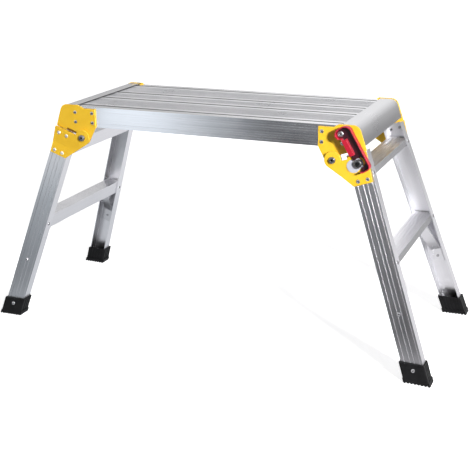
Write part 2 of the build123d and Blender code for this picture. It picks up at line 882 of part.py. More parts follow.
def lever(latch_drop):
    """Right front lever, hung a drop below the deck's top and leaning towards the lock pin.
    It is a tray with a raised band, hollow behind, along its inner side."""
    stud = (latch_x, deck_height - latch_drop)
    reach, angle = polar(stud)
    tilt = math.radians(90 + angle - latch_lead)

    def spot(c, l):
        x = stud[0] + c * math.cos(tilt) + l * math.sin(tilt)
        return (x, stud[1] + c * math.sin(tilt) - l * math.cos(tilt))

    bottom = reach + latch_tail
    shoulder = spot(latch_right, -latch_top)
    toes = [spot(latch_right, bottom), spot(-latch_left, bottom)]
    shape = outline(spot(-latch_left, -latch_top), shoulder, *toes)
    for corner, radius in ((shoulder, latch_shoulder), (toes[0], latch_corner), (toes[1], latch_corner)):
        shape = fillet(shape.vertices().sort_by_distance((*corner, 0))[0], radius)
    shape += Pos(*stud) * Circle(latch_ear_radius)
    tray = side_prism(shape, latch_back, latch_front)
    tray -= side_prism(offset(shape, -latch_wall), latch_web_front, far)
    inside = latch_wall - latch_left
    rim_end = reach - latch_rim_gap
    band = outline(
        spot(-latch_left, latch_band_start),
        spot(latch_band, latch_band_start),
        spot(latch_band, rim_end),
        spot(-latch_left, rim_end),
    )
    tray += side_prism(band, latch_back, latch_front)
    tray -= side_prism(offset(band, -latch_wall), 0, latch_front - latch_wall)
    rim_gap = outline(
        spot(-reach, rim_end),
        spot(inside, rim_end),
        spot(inside, bottom),
        spot(-reach, bottom),
    )
    tray -= side_prism(lever_mouth(stud), 0, far)
    tray -= side_prism(rim_gap, latch_web_front, far)
    return drill(tray, [stud_seat(latch_drop)], stud_hole, far)


def latch_stud(latch_drop):
    seat = stud_seat(latch_drop)
    head = peg(seat, latch_stud_head_radius, slide_gap, slide_gap + latch_stud_head_height)
    head = chamfer(head.edges().sort_by(Axis.Y)[0], latch_stud_head_height / 3)
    shank_end = latch_web_front - half_width + stile_wall
    head += peg(seat, latch_stud_radius, -shank_end, slide_gap)
    return head + peg(seat, latch_stud_shoulder, plate_face - latch_web_front, -latch_wall - slide_gap)


nodes = {
    "deck_stile_front": deck_stile(front_latch_drop),
    "deck_stile_rear": half_turn(deck_stile(rear_latch_drop)),
    "end_nosing_right": nosing(),
    "end_nosing_left": half_turn(nosing()),
    "deck_hinge_plate_front_right": latched_deck_plate(front_latch_drop),
    "deck_hinge_plate_rear_right": rear(plain_deck_plate()),
    "deck_hinge_plate_rear_left": half_turn(latched_deck_plate(rear_latch_drop)),
    "deck_hinge_plate_front_left": half_turn(rear(plain_deck_plate())),
    "deck_plate_rivets": deck_plate_rivets(),
    "cross_member_rivets": cross_member_rivets(),
    "plank_rivets": plank_rivets(),
    "nosing_rivets": nosing_rivets(),
    "leg_pivot_bolts": at_four_corners(pivot_bolt()),
    "leg_pivot_spacers": at_four_corners(pivot_spacer()),
    "leg_pivot_nuts": at_four_corners(pivot_nut()),
    "latch_studs": group([latch_stud(front_latch_drop), half_turn(latch_stud(rear_latch_drop))]),
    "right_latch_lever": lever(front_latch_drop),
    "left_latch_lever": half_turn(lever(rear_latch_drop)),
}
for place, edges in zip(("front", "middle", "rear"), plank_edges()):
    nodes[f"deck_plank_{place}"] = plank(*edges)
for number, place in enumerate(cross_member_places(), start=1):
    nodes[f"cross_member_{number}"] = cross_member(place)

# The right leg frame; the left one is the same frame turned about the vertical
leg_pieces = {
    "stile_front": leg_stile(True),
    "stile_rear": rear(leg_stile(False)),
    "top_rung": rung(top_rung_height),
    "step": rung(step_height),
    "brace_front": brace(),
    "brace_rear": rear(brace()),
    "foot_front": foot(),
    "foot_rear": rear(foot()),
    "hinge_plate_front": leg_plate(True),
    "hinge_plate_rear": rear(leg_plate(False)),
    "plate_rivets": leg_plate_rivets(),
    "rung_rivets": rung_rivets(),
    "brace_rivets": brace_rivets(),
    "foot_rivets": foot_rivets(),
    "lock_pin": lock_pin(),
    "lock_pad": lock_pad(),
}
opposite = {"front": "rear", "rear": "front"}
for name, piece in leg_pieces.items():
    nodes[f"right_leg_{name}"] = piece
    stem, _, side = name.rpartition("_")
    turned = f"{stem}_{opposite[side]}" if side in opposite else name
    nodes[f"left_leg_{turned}"] = half_turn(piece)

os.makedirs("parts", exist_ok=True)
for name, shape in nodes.items():
    export_step(shape, f"parts/{name}.step")
print(len(nodes), "nodes written")
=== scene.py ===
import math

import bpy
import numpy as np
from mathutils import Matrix, Vector


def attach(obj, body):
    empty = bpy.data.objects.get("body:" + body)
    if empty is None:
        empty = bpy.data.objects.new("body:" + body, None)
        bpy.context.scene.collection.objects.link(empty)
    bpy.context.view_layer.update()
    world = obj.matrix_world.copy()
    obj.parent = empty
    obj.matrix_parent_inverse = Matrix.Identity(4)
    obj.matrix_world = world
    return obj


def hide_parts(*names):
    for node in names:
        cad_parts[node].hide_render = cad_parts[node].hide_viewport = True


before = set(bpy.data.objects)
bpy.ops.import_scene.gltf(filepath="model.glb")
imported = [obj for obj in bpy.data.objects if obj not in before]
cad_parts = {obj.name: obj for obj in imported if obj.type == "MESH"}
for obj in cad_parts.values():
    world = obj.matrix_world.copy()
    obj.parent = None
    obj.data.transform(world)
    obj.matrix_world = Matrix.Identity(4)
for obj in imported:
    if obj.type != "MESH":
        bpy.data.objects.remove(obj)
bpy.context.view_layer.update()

# Deck stiles: the two long aluminium channels that frame the deck, extruded with a finely
# grooved outer face and left mill-finished, so the die lines run along their length.


def wire(tree, kind, inputs, **settings):
    """New node whose inputs are set to values, or linked where a value is another node's output."""
    made = tree.nodes.new(kind)
    for key, value in settings.items():
        setattr(made, key, value)
    for key, value in inputs.items():
        if isinstance(value, bpy.types.NodeSocket):
            tree.links.new(value, made.inputs[key])
        else:
            made.inputs[key].default_value = value
    return made


def remap(tree, value, start, end, low=0.0, high=1.0):
    """Carries a value from the range start to end into the range low to high, held at both ends."""
    ranges = {"Value": value, "From Min": start, "From Max": end, "To Min": low, "To Max": high}
    return wire(tree, "ShaderNodeMapRange", ranges).outputs[0]


def reckon(tree, operation, *values):
    """One step of arithmetic on numbers and node outputs."""
    return wire(tree, "ShaderNodeMath", dict(enumerate(values)), operation=operation).outputs[0]


def cloudy(tree, place, scale, detail, **more):
    """Cloudy noise with a number of patches to the metre and some finer layers."""
    inputs = {"Vector": place, "Scale": scale, "Detail": detail, **more}
    return wire(tree, "ShaderNodeTexNoise", inputs).outputs[0]


def two_tints(tree, share, first, second, stops=(0.0, 1.0)):
    """Colour that runs from a first tint to a second as a share goes from one stop to the other."""
    ramp = wire(tree, "ShaderNodeValToRGB", {"Fac": share})
    for element, tint, stop in zip(ramp.color_ramp.elements, (first, second), stops):
        element.color = (*tint, 1)
        element.position = stop
    return ramp.outputs[0]


def rounded_edges(tree, radius):
    """Normal that turns over each edge as on a fillet of a radius."""
    return wire(tree, "ShaderNodeBevel", {"Radius": radius}, samples=4).outputs[0]


def raised(tree, height, strength, distance, **under):
    """Normal tilted by a height pattern, over another normal where one is given."""
    inputs = {"Height": height, "Strength": strength, "Distance": distance, **under}
    return wire(tree, "ShaderNodeBump", inputs).outputs[0]


def blank_finish(name):
    """Empty material and its node tree."""
    finish = bpy.data.materials.new(name)
    finish.use_nodes = True
    return finish, finish.node_tree


def settle(tree, colour, gloss, relief, metallic=0.0):
    """Links a colour, a roughness and a normal to the shader, and says whether it is metal."""
    shader = tree.nodes["Principled BSDF"]
    tree.links.new(colour, shader.inputs["Base Color"])
    tree.links.new(gloss, shader.inputs["Roughness"])
    tree.links.new(relief, shader.inputs["Normal"])
    shader.inputs["Metallic"].default_value = metallic


def mill_aluminium(name, streaks, turn=(0.0, 0.0, 0.0), tone=0.90, dull=0.24, edge=0.0007, spread=0.40):
    """Bare extruded aluminium: die lines drawn out along the bar, soft cloudy patches and fine relief.
    Streaks counts the lines to the metre along each axis, after a turn that stands the bar upright."""
    finish, tree = blank_finish(name)
    place = wire(tree, "ShaderNodeTexCoord", {}).outputs["Object"]
    level = wire(tree, "ShaderNodeMapping", {"Vector": place, "Rotation": turn}).outputs[0]
    drawn = wire(tree, "ShaderNodeMapping", {"Vector": level, "Scale": streaks}).outputs[0]
    lines = cloudy(tree, drawn, scale=1.0, detail=3.0, Roughness=0.65)
    patches = cloudy(tree, place, scale=9.0, detail=4.0)
    shade = remap(tree, reckon(tree, "ADD", lines, patches), 1.0 - spread, 1.0 + spread)
    darker = (tone * 0.93, tone * 0.93, tone * 0.96)
    paler = (tone * 1.04, tone * 1.035, tone * 1.065)
    gloss = remap(tree, patches, 0.3, 0.7, dull, dull + 0.08)
    worn = reckon(tree, "MULTIPLY_ADD", lines, 0.06, gloss)
    relief = raised(tree, lines, strength=0.16, distance=0.0001, Normal=rounded_edges(tree, edge))
    settle(tree, two_tints(tree, shade, darker, paler), worn, relief, metallic=1.0)
    return finish


def dress(finish, *names):
    """Gives CAD nodes a finish."""
    for name in names:
        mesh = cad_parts[name].data
        mesh.materials.clear()
        mesh.materials.append(finish)


stile_streaks = (1.2, 190.0, 190.0)
deck_stile_finish = mill_aluminium(
    "deck_stile_aluminium", stile_streaks, tone=0.93, dull=0.10, edge=0.0, spread=0.14)
dress(deck_stile_finish, "deck_stile_front", "deck_stile_rear")

# Cross members: square aluminium tubes under the planks, standing on the stiles' lower flanges.
# They are cut from plain bar and riveted from below.
cross_member_streaks = (620.0, 2.5, 620.0)
cross_member_finish = mill_aluminium("cross_member_aluminium", cross_member_streaks, tone=0.76)
dress(cross_member_finish, *[f"cross_member_{number}" for number in range(1, 6)])

# Deck planks: three ribbed aluminium treads laid side by side along the deck, extruded in one
# length and riveted to the cross members. The groove floors and the joints carry a painted shade.
nosing_edge = 0.305
groove_floor, rib_top = 0.5029, 0.5038
groove_shade, joint_shade = (0.25, 0.25, 0.26), (0.05, 0.05, 0.053)
plank_streaks = (0.8, 75.0, 75.0)


def axes(tree, vector):
    """The parts of a vector along X, Y and Z."""
    return wire(tree, "ShaderNodeSeparateXYZ", {"Vector": vector}).outputs


def lay_over(tree, share, under, colour):
    """Colour that covers the one under it by a share."""
    inputs = {"Factor": share, 6: under, 7: (*colour, 1)}
    return wire(tree, "ShaderNodeMix", inputs, data_type="RGBA").outputs[2]


def paint_shade(finish, share, colour):
    """Lays a painted shade, a darker colour, over a finish's own by a share."""
    paint = finish.node_tree.nodes["Principled BSDF"].inputs["Base Color"]
    shaded_paint = lay_over(finish.node_tree, share, paint.links[0].from_socket, colour)
    finish.node_tree.links.new(shaded_paint, paint)


plank_places = (("front", -0.07925, 0.04225), ("middle", 0.0, 0.031), ("rear", 0.07925, 0.04225))
for end, middle, half_width in plank_places:
    plank_finish = mill_aluminium(f"{end}_plank_aluminium", plank_streaks, tone=0.90, spread=0.14)
    tree = plank_finish.node_tree
    along, sideways, height = axes(tree, wire(tree, "ShaderNodeTexCoord", {}).outputs["Object"])
    # Painted shade: the groove floors are darkened, and so is a thin band along each joint and by the
    # nosings.
    groove = remap(tree, height, groove_floor, rib_top, 0.65, 0.0)
    from_middle = reckon(tree, "ABSOLUTE", reckon(tree, "SUBTRACT", sideways, middle))
    side_joint = remap(tree, from_middle, half_width - 0.0013, half_width - 0.0003, 0.0, 0.66)
    to_end = reckon(tree, "ABSOLUTE", along)
    end_joint = remap(tree, to_end, nosing_edge - 0.004, nosing_edge - 0.001, 0.0, 0.45)
    paint_shade(plank_finish, groove, groove_shade)
    paint_shade(plank_finish, reckon(tree, "MAXIMUM", side_joint, end_joint), joint_shade)
    dress(plank_finish, f"deck_plank_{end}")

# End nosings: rounded aluminium caps over both ends of the deck, extruded crosswise with a
# smooth skin and riveted to the last cross members. Their inner faces are painted dark, a painted
# shade against the planks.
nosing_centre = (0.2988, 0, 0.4474)
nosing_shadow = (0.06, 0.06, 0.065)
nosing_streaks = (480.0, 2.2, 480.0)


def on_vectors(tree, operation, *vectors):
    """One step of vector arithmetic; a dot product or a length comes out as a number."""
    made = wire(tree, "ShaderNodeVectorMath", dict(enumerate(vectors)), operation=operation)
    return made.outputs["Value" if operation in ("DOT_PRODUCT", "LENGTH") else "Vector"]


def roll_face(finish, centre):
    """Leans outer normals towards those of one large round about a centre, so light rolls over the cap."""
    tree = finish.node_tree
    coords = wire(tree, "ShaderNodeTexCoord", {}).outputs
    spoke = on_vectors(tree, "SUBTRACT", coords["Object"], centre)
    round_way = on_vectors(tree, "NORMALIZE", on_vectors(tree, "MULTIPLY", spoke, (1, 0, 1)))
    looks = on_vectors(tree, "DOT_PRODUCT", coords["Normal"], round_way)
    outer = remap(tree, looks, 0.4, 0.8, 0.0, 0.62)
    surface = tree.nodes["Principled BSDF"].inputs["Normal"]
    mix = {"Factor": outer, 4: surface.links[0].from_socket, 5: round_way}
    leaned = wire(tree, "ShaderNodeMix", mix, data_type="VECTOR").outputs[1]
    tree.links.new(on_vectors(tree, "NORMALIZE", leaned), surface)


def paint_face_shade(finish, facing, depth, colour, past=((0, 0, 0), -1.0), top=1.0):
    """Paints shade on the faces that look one way and lie past a plane, given as its normal and its offset.
    Towards the deck only the top share of it is left."""
    tree = finish.node_tree
    coords = wire(tree, "ShaderNodeTexCoord", {}).outputs
    looks = on_vectors(tree, "DOT_PRODUCT", coords["Normal"], facing)
    offset = on_vectors(tree, "DOT_PRODUCT", coords["Object"], past[0])
    beyond = reckon(tree, "GREATER_THAN", offset, past[1])
    share = reckon(tree, "MULTIPLY", remap(tree, looks, 0.90, 0.97, 0.0, depth), beyond)
    fade = remap(tree, axes(tree, coords["Object"])["Z"], 0.28, 0.38, 1.0, top)
    paint_shade(finish, reckon(tree, "MULTIPLY", share, fade), colour)


for side, sign in (("right", 1), ("left", -1)):
    nosing_finish = mill_aluminium(f"{side}_nosing_aluminium", nosing_streaks, tone=0.67)
    roll_face(nosing_finish, (sign * nosing_centre[0], *nosing_centre[1:]))
    paint_face_shade(nosing_finish, (-sign, 0, 0), depth=0.62, colour=nosing_shadow)
    dress(nosing_finish, f"end_nosing_{side}")

# Hinge plates: pressed steel, powder-coated golden yellow. Four are riveted to the deck's corners
# and four to the tops of the legs, and each pair turns on one bolt.
yellow, deep_yellow, yellow_recess_shade = (0.83, 0.52, 0.030), (0.76, 0.45, 0.020), (0.20, 0.09, 0.010)


def powder_coat(name, colour, deep, gloss):
    """Baked powder paint: orange-peel skin, slight clouding, and a paler colour over the edges,
    partly a leaner coat there and partly a painted highlight.
    """
    finish, tree = blank_finish(name)
    place = wire(tree, "ShaderNodeTexCoord", {}).outputs["Object"]
    peel = cloudy(tree, place, scale=900.0, detail=2.0)
    patches = cloudy(tree, place, scale=28.0, detail=5.0)
    tint = two_tints(tree, remap(tree, patches, 0.3, 0.7), deep, colour)
    fillet = rounded_edges(tree, radius=0.0009)
    facing = wire(tree, "ShaderNodeNewGeometry", {}).outputs["Normal"]
    edge = remap(tree, on_vectors(tree, "DOT_PRODUCT", fillet, facing), 0.998, 0.93)
    thin_paint_and_highlight = [min(1, part * 1.12 + 0.06) for part in colour]
    skin = remap(tree, patches, 0.3, 0.7, gloss, gloss + 0.12)
    relief = raised(tree, peel, strength=0.25, distance=0.00015, Normal=fillet)
    settle(tree, lay_over(tree, edge, tint, thin_paint_and_highlight), skin, relief)
    return finish


def paint_recess_shade(finish, deep, shallow, colour):
    """Paints shade on faces that look out of the deck from below their own piece's rim, in the recesses."""
    tree = finish.node_tree
    coords = wire(tree, "ShaderNodeTexCoord", {}).outputs
    distance = axes(tree, coords["Object"])["Y"]
    depth = reckon(tree, "MULTIPLY", distance, axes(tree, coords["Normal"])["Y"])
    inside = remap(tree, depth, shallow, deep)
    outside = remap(tree, depth, 0.10, 0.12)
    paint_shade(finish, reckon(tree, "MULTIPLY", inside, outside), colour)


yellow_finish = powder_coat("yellow_powder_coat", yellow, deep_yellow, gloss=0.36)
# Painted shade: outward faces sunk below the plates' front, as in the slot, are painted dark yellow.
paint_recess_shade(yellow_finish, deep=0.1481, shallow=0.1492, colour=yellow_recess_shade)
corners = ("front_right", "rear_right", "front_left", "rear_left")
dress(yellow_finish, *[f"deck_hinge_plate_{corner}" for corner in corners])
for side in ("right", "left"):
    dress(yellow_finish, f"{side}_leg_hinge_plate_front", f"{side}_leg_hinge_plate_rear")

# Blind rivets: zinc-plated steel, set from outside, with a low domed head round the snapped
# stem and a swelled tail behind. These hold the hinge plates to the deck's corners.
sharp_bend = math.radians(38)


def turned_steel(name, pocket, face, edge, dull=0.20):
    """Steel turned on a lathe: fine rings round the axis, stained patches, and a painted shade in the pocket
    inside the edge.
    The turning map gives the distance run along the profile, in millimetres."""
    finish, tree = blank_finish(name)
    away = axes(tree, wire(tree, "ShaderNodeUVMap", {}, uv_map="turning").outputs[0])["Y"]
    place = wire(tree, "ShaderNodeTexCoord", {}).outputs["Object"]
    stain = cloudy(tree, place, scale=420.0, detail=3.0)
    mottle = remap(tree, stain, 0.3, 0.7, 0.8, 1.0)
    lip = reckon(tree, "MULTIPLY", remap(tree, away, *edge), mottle)
    rings = reckon(tree, "SINE", reckon(tree, "MULTIPLY", away, 24.0))
    gloss = remap(tree, stain, 0.3, 0.7, dull, dull + 0.16)
    relief = raised(tree, rings, strength=0.10, distance=0.0001)
    settle(tree, two_tints(tree, lip, pocket, face), gloss, relief, metallic=1.0)
    return finish


def turned_pieces(name, seats, profile, finish, body, node, around=28):
    """Solids of revolution: a profile of (radius, height) in millimetres turned about every seat's axis.
    A seat is an origin and a facing direction; height runs along the facing, from the origin."""
    seats = np.asarray(seats, float)
    rim = np.asarray(profile, float) / 1000
    origin = seats[:, 0]
    facing = seats[:, 1] / np.linalg.norm(seats[:, 1], axis=1, keepdims=True)
    helper = np.where(np.abs(facing[:, :1]) < 0.7, [[1.0, 0, 0]], [[0, 0, 1.0]])
    first = np.cross(facing, helper)
    first /= np.linalg.norm(first, axis=1, keepdims=True)
    second = np.cross(facing, first)
    angle = np.linspace(0, 2 * np.pi, around, endpoint=False)
    cosine, sine = np.cos(angle)[None, :, None], np.sin(angle)[None, :, None]
    spoke = first[:, None] * cosine + second[:, None] * sine
    radius, height = rim[:, 0].reshape(1, -1, 1, 1), rim[:, 1].reshape(1, -1, 1, 1)
    points = origin[:, None, None] + radius * spoke[:, None] + height * facing[:, None, None]
    count, rings = len(seats), len(rim)
    row, column = np.meshgrid(np.arange(rings - 1), np.arange(around), indexing="ij")
    beside = (column + 1) % around
    here, next_ring = row * around, (row + 1) * around
    quad = np.stack([here + column, next_ring + column, next_ring + beside, here + beside], -1).reshape(-1, 4)
    faces = (quad[None] + (np.arange(count) * rings * around)[:, None, None]).reshape(-1, 4)
    mesh = bpy.data.meshes.new(name)
    mesh.from_pydata(points.reshape(-1, 3), [], faces)
    run = np.concatenate([[0], np.cumsum(np.hypot(*np.diff(np.asarray(profile, float), axis=0).T))])
    turning = np.stack(np.broadcast_arrays(angle[None], run[:, None]), -1).reshape(-1, 2)
    layer = mesh.uv_layers.new(name="turning")
    layer.data.foreach_set("uv", turning[faces.reshape(-1) % (rings * around)].astype(np.float32).ravel())
    mesh.materials.append(finish)
    piece = bpy.data.objects.new(name, mesh)
    bpy.context.scene.collection.objects.link(piece)
    mesh.polygons.foreach_set("use_smooth", np.ones(len(mesh.polygons), bool))
    mesh.set_sharp_from_angle(angle=sharp_bend)
    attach(piece, body)
    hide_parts(node)


def rivet_profile(grip, collar=None):
    """Stem pocket, domed head, shank through the grip with an optional collar between two depths, tail."""
    pocket = [(0.0, 0.55), (0.95, 0.60), (1.1, 0.30), (1.35, 0.30)]
    dome = [(1.4, 1.35), (1.8, 1.60), (2.7, 1.42), (3.5, 0.95), (4.05, 0.35), (4.2, 0.0)]
    shank = [(2.5, 0.0)]
    if collar:
        upper, lower = collar
        shank += [(2.5, -upper), (4.2, -upper), (4.2, -lower), (2.5, -lower)]
    tail = [(2.5, -grip), (3.4, -grip), (3.4, -grip - 0.7), (2.9, -grip - 1.4), (0.0, -grip - 1.4)]
    return pocket + dome + shank + tail


def mirrored(seats, signs):
    """Seats on another corner, with some axes reversed."""
    return np.asarray(seats, float) * np.asarray(signs, float)


right_front, right_rear, left_front, left_rear = (1, 1, 1), (1, -1, 1), (-1, 1, 1), (-1, -1, 1)
stem_edge = (1.0, 2.2)
# Painted shade: the stem pocket of each head is painted dark.
rivet_pocket_shade, zinc = (0.16, 0.16, 0.165), (0.55, 0.55, 0.57)
rivet_finish = turned_steel("rivet_zinc_steel", rivet_pocket_shade, zinc, stem_edge, dull=0.07)
deck_plate_face, plate_grip = 0.150, 5.6
deck_columns, deck_rows = (0.265, 0.308), (0.4905, 0.469)
plain_deck_seats = [((x, -deck_plate_face, z), (0, -1, 0)) for x in deck_columns for z in deck_rows]
under_latch = (deck_columns[1], deck_rows[0])
latched_deck_seats = [seat for seat in plain_deck_seats if seat[0][::2] != under_latch]
deck_seats = np.concatenate([
    mirrored(latched_deck_seats, right_front),
    mirrored(plain_deck_seats, right_rear),
    mirrored(plain_deck_seats, left_front),
    mirrored(latched_deck_seats, left_rear),
])
deck_rivet_profile = rivet_profile(plate_grip)
turned_pieces(
    "deck_plate_blind_rivets", deck_seats, deck_rivet_profile, rivet_finish, "platform", "deck_plate_rivets")

# Rivets out of sight under the deck: plain zinc-plated steel with flat heads, set through the
# planks, the cross members and the nosings.


def plated_steel(name, tone):
    """Zinc-plated steel: pale mottled plating with a soft shine."""
    finish, tree = blank_finish(name)
    place = wire(tree, "ShaderNodeTexCoord", {}).outputs["Object"]
    spangle = wire(tree, "ShaderNodeTexVoronoi", {"Vector": place, "Scale": 700.0}).outputs["Distance"]
    stain = cloudy(tree, place, scale=160.0, detail=4.0)
    stained, clean = (tone * 0.82, tone * 0.82, tone * 0.85), (tone, tone, tone * 1.03)
    gloss = remap(tree, spangle, 0.0, 0.8, 0.24, 0.42)
    fillet = rounded_edges(tree, radius=0.0005)
    relief = raised(tree, spangle, strength=0.08, distance=0.0001, Normal=fillet)
    settle(tree, two_tints(tree, stain, stained, clean, stops=(0.3, 0.7)), gloss, relief, metallic=1.0)
    return finish


fastener_finish = plated_steel("fastener_zinc_steel", tone=0.62)
dress(fastener_finish, "plank_rivets", "cross_member_rivets", "nosing_rivets")

# Leg stiles: ridged aluminium channels with the web outside, splayed along the deck and flared
# sideways. They are extruded, so their die lines follow each leg's own slope.
lean, flare = math.radians(19.0), math.radians(6.66)
pivot = np.array([0.290, 0, 0.435])
across = np.array([math.cos(lean), 0, math.sin(lean)])
down = np.array([math.sin(lean), 0, -math.cos(lean)])
heading = np.array([down[0], -math.tan(flare), down[2]])
heading /= np.linalg.norm(heading)
outward = np.cross(heading, across)
leg_streaks = (620.0, 620.0, 2.5)
# Painted shade darkens the webs' outer faces and the outer flanges' inner faces; the left front web has its
# own.
web_painted_shade, front_left_web_shade, flange_painted_shade = (0.30, 0.297, 0.318), (0.28, 0.31, 0.34), (0.14, 0.144, 0.154)
flange_start = 0.06


def upright(direction):
    """Turns about X and then Y that stand a direction on the vertical."""
    x, y, z = direction
    about_x = math.atan2(y, z) if z > 0 else math.atan2(-y, -z)
    tall = y * math.sin(about_x) + z * math.cos(about_x)
    return (about_x, math.atan2(-x, tall) if tall > 0 else math.atan2(x, -tall), 0.0)


leg_corners = {
    ("right", "front"): right_front,
    ("right", "rear"): right_rear,
    ("left", "front"): left_front,
    ("left", "rear"): left_rear,
}
for (side, end), signs in leg_corners.items():
    slope = upright(heading * signs)
    stile_finish = mill_aluminium(f"{side}_{end}_leg_aluminium", leg_streaks, slope)
    if signs == left_front:
        paint_face_shade(stile_finish, tuple(outward * signs), depth=0.52, colour=front_left_web_shade, top=0.3)
    else:
        paint_face_shade(stile_finish, tuple(outward * signs), depth=0.66, colour=web_painted_shade)
    flange_side = across * signs
    outer_flange = (tuple(flange_side), flange_side @ (signs * pivot) + flange_start)
    paint_face_shade(stile_finish, tuple(-flange_side), depth=0.78, colour=flange_painted_shade, past=outer_flange)
    dress(stile_finish, f"{side}_leg_stile_{end}")

# Top rungs and steps: hollow aluminium bars with level grooved treads, extruded crosswise and
# riveted through both flanges of the stiles. Fine upright ribs are rolled into their outer faces.
rib_pitch = 0.0036
rib_hollow_shade = (0.22, 0.22, 0.23)
rung_streaks = (560.0, 2.4, 560.0)


def rib_outer_face(finish, facing):
    """Adds upright ribs, a sine along the bar, to the faces that look one way; their hollows carry a painted
    shade.
    """
    tree = finish.node_tree
    coords = wire(tree, "ShaderNodeTexCoord", {}).outputs
    outer = remap(tree, on_vectors(tree, "DOT_PRODUCT", coords["Normal"], facing), 0.93, 0.97)
    phase = reckon(tree, "MULTIPLY", axes(tree, coords["Object"])["Y"], 2 * math.pi / rib_pitch)
    wave = reckon(tree, "SINE", phase)
    ribs = reckon(tree, "MULTIPLY", wave, outer)
    surface = tree.nodes["Principled BSDF"].inputs["Normal"]
    relief = raised(tree, ribs, strength=0.9, distance=0.0005, Normal=surface.links[0].from_socket)
    hollow = remap(tree, wave, -1.0, 0.6, 0.75, 0.40)
    paint_shade(finish, reckon(tree, "MULTIPLY", hollow, outer), rib_hollow_shade)
    tree.links.new(relief, surface)


# The left leg's rungs and steps have a darker tone than the right's, a painted shade.
for side, sign, tone in (("right", 1, 0.95), ("left", -1, 0.85)):
    rung_finish = mill_aluminium(f"{side}_rung_aluminium", rung_streaks, tone=tone)
    rib_outer_face(rung_finish, tuple(across * (sign, 1, 1)))
    dress(rung_finish, f"{side}_leg_top_rung", f"{side}_leg_step")

# Braces: flat aluminium straps, bent at both ends and set under the steps. The upper tab is
# riveted to the step's base and the lower one to the web of the stile.
brace_streaks = (90.0, 420.0, 90.0)
# The left braces have a darker tone than the right ones, a painted shade.
for side, tone in (("right", 0.90), ("left", 0.74)):
    brace_finish = mill_aluminium(f"{side}_brace_aluminium", brace_streaks, tone=tone)
    dress(brace_finish, f"{side}_leg_brace_front", f"{side}_leg_brace_rear")

# Feet: black rubber cups with ribbed sides and toothed soles, moulded in one piece, dull and a
# little dusty. Each is pushed over the end of a leg and held by one rivet.
rubber_black, rubber_dust = (0.003, 0.003, 0.0034), (0.008, 0.008, 0.009)


def moulded_rubber(name):
    """Black rubber: fine moulded grain, dusty grey on the faces and worn smooth in patches."""
    finish, tree = blank_finish(name)
    place = wire(tree, "ShaderNodeTexCoord", {}).outputs["Object"]
    grain = cloudy(tree, place, scale=1500.0, detail=2.0)
    dust = cloudy(tree, place, scale=55.0, detail=6.0)
    tint = two_tints(tree, dust, rubber_black, rubber_dust, stops=(0.35, 0.75))
    gloss = remap(tree, dust, 0.3, 0.7, 0.40, 0.58)
    fillet = rounded_edges(tree, radius=0.0012)
    relief = raised(tree, grain, strength=0.35, distance=0.0002, Normal=fillet)
    settle(tree, tint, gloss, relief)
    tree.nodes["Principled BSDF"].inputs["Specular IOR Level"].default_value = 0.19
    return finish


rubber_finish = moulded_rubber("moulded_rubber")
for side in ("right", "left"):
    dress(rubber_finish, f"{side}_leg_foot_front", f"{side}_leg_foot_rear")

# Rivets of the leg frames: zinc-plated blind rivets through the hinge plates, rung ends, braces
# and feet, all facing out of the channel they hold. Those of the left hinge plates are painted
# brighter, a painted reflection of the bright surround on that side.
leg_inner, leg_middle, leg_outer = 0.0275, 0.04925, 0.071
bend_at, web_at_bend, web_wall = 0.036, 0.153, 0.0026
leg_plate_face, plate_wall = 0.156, 0.003
step_tread, top_tread, rung_thickness = 0.245, 0.420, 0.012
brace_drop, brace_wall, brace_reach = 0.076, 0.0025, 0.052
rivet_spread, plate_row, upper_row = 0.0102, 0.0545, 0.012
rung_rivet_drop, rung_rivet_inset = 0.006, 0.012
web_rivet_drop, strap_rivet_inset = 0.017, 0.013
foot_rivet_height, foot_wall = 0.028, 0.0046
rung_grip, web_grip, strap_grip, foot_grip = 4.5, 5.1, 4.7, 7.2
head_radius = 4.2


def side_spot(n, u):
    """Point n across from the leg pivot and u down the leg, in the middle plane."""
    return pivot + n * across + u * down


def web_spot(n, u, m):
    """Point on the right front leg, m out of the web's outer face."""
    bend = side_spot(0, bend_at) - [0, web_at_bend, 0]
    return bend + n * across + m * outward + (u - bend_at) / math.cos(flare) * heading


def web_depth(u):
    """How far the web's outer face is from the middle plane."""
    return web_at_bend + math.tan(flare) * (u - bend_at)


def reach_down(n, height):
    """Distance down the leg at which the line n across reaches a height."""
    return (pivot[2] + n * math.sin(lean) - height) / math.cos(lean)


def at_corners(seats, corners):
    """The same seats on several corners, one after the other."""
    return np.concatenate([mirrored(seats, signs) for signs in corners])


plate_columns = (leg_middle - rivet_spread, leg_middle + rivet_spread)
plate_seats = [(web_spot(n, plate_row, plate_wall), outward) for n in plate_columns]
upper_seats = [(side_spot(n, upper_row) - [0, leg_plate_face, 0], (0, -1, 0)) for n in plate_columns]
rung_seats = []
for tread in (top_tread, step_tread):
    u = reach_down(leg_outer, tread) + rung_rivet_drop
    inset = [0, rung_rivet_inset - web_depth(u), 0]
    rung_seats.append((side_spot(leg_outer, u) + inset, across))
    rung_seats.append((side_spot(leg_inner, u) + inset, -across))
step_base = reach_down(leg_outer, step_tread) + rung_thickness
web_seats = [(web_spot(leg_middle, step_base + brace_drop + web_rivet_drop, 0), outward)]
strap = step_base + brace_wall
web_inside = web_depth(strap) - web_wall / math.cos(flare)
strap_inset = brace_reach + strap_rivet_inset - web_inside
strap_seats = [(side_spot(leg_middle, strap) + [0, strap_inset, 0], down)]
foot_seats = [(web_spot(leg_middle, reach_down(leg_middle, foot_rivet_height), foot_wall), outward)]
flare_rise = head_radius * math.tan(flare)
collar_end = 1000 * (plate_wall + web_at_bend - web_depth(upper_row)) - flare_rise
web_back = web_depth(upper_row) - web_wall / math.cos(flare)
upper_grip = 1000 * (leg_plate_face - web_back) + flare_rise
upper_profile = rivet_profile(upper_grip, collar=(1000 * plate_wall, collar_end))
